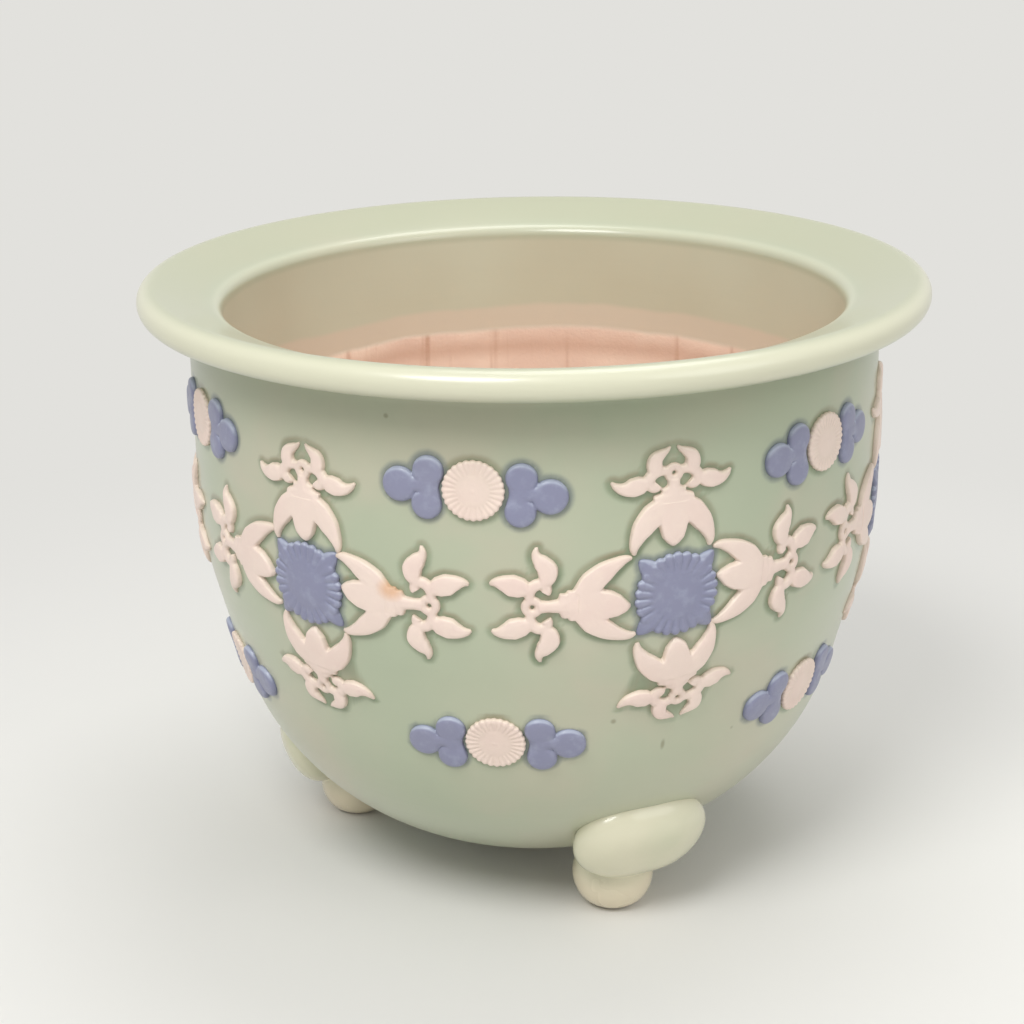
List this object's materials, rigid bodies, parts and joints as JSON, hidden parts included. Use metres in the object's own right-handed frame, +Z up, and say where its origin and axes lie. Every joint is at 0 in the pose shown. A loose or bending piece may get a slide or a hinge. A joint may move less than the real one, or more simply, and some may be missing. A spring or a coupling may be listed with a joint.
{
  "type": "three-footed jardiniere",
  "caption": "Round glazed ceramic planter with a dished everted rim, applied relief sprigs round the belly and moulded feet under a drained base.",
  "frame": {"origin": "on the ground, at the pot's axis: bottom centre of the bounding box", "axes": "+Z up along the pot's axis, -Y the front, where a cartouche of roundel and scrolls is"},
  "size_m": [0.3979, 0.398, 0.3075],
  "materials": {
    "celadon_glaze": "soft gloss celadon glaze outside and on the rim, bare terracotta-pink body low inside",
    "cream_glaze": "pale cream gloss glaze",
    "blue_slip": "blue-tinted clay relief under a thin satin glaze",
    "white_slip": "pinkish white clay relief, satin"
  },
  "bodies": {
    "root": {"foot_1": "cream_glaze", "foot_2": "cream_glaze", "foot_3": "cream_glaze", "lower_roundel_1": "white_slip", "lower_roundel_2": "white_slip", "lower_roundel_3": "white_slip", "lower_roundel_4": "white_slip", "lower_roundel_5": "white_slip", "lower_roundel_6": "white_slip", "lower_scrolls_1": "blue_slip", "lower_scrolls_2": "blue_slip", "lower_scrolls_3": "blue_slip", "lower_scrolls_4": "blue_slip", "lower_scrolls_5": "blue_slip", "lower_scrolls_6": "blue_slip", "medallion_1_floret": "blue_slip", "medallion_1_spray_down": "white_slip", "medallion_1_spray_left": "white_slip", "medallion_1_spray_right": "white_slip", "medallion_1_spray_up": "white_slip", "medallion_2_floret": "blue_slip", "medallion_2_spray_down": "white_slip", "medallion_2_spray_left": "white_slip", "medallion_2_spray_right": "white_slip", "medallion_2_spray_up": "white_slip", "medallion_3_floret": "blue_slip", "medallion_3_spray_down": "white_slip", "medallion_3_spray_left": "white_slip", "medallion_3_spray_right": "white_slip", "medallion_3_spray_up": "white_slip", "medallion_4_floret": "blue_slip", "medallion_4_spray_down": "white_slip", "medallion_4_spray_left": "white_slip", "medallion_4_spray_right": "white_slip", "medallion_4_spray_up": "white_slip", "medallion_5_floret": "blue_slip", "medallion_5_spray_down": "white_slip", "medallion_5_spray_left": "white_slip", "medallion_5_spray_right": "white_slip", "medallion_5_spray_up": "white_slip", "medallion_6_floret": "blue_slip", "medallion_6_spray_down": "white_slip", "medallion_6_spray_left": "white_slip", "medallion_6_spray_right": "white_slip", "medallion_6_spray_up": "white_slip", "pot_body": "celadon_glaze", "pot_rim": "celadon_glaze", "upper_roundel_1": "white_slip", "upper_roundel_2": "white_slip", "upper_roundel_3": "white_slip", "upper_roundel_4": "white_slip", "upper_roundel_5": "white_slip", "upper_roundel_6": "white_slip", "upper_scrolls_1": "blue_slip", "upper_scrolls_2": "blue_slip", "upper_scrolls_3": "blue_slip", "upper_scrolls_4": "blue_slip", "upper_scrolls_5": "blue_slip", "upper_scrolls_6": "blue_slip"}
  },
  "joints": []
}
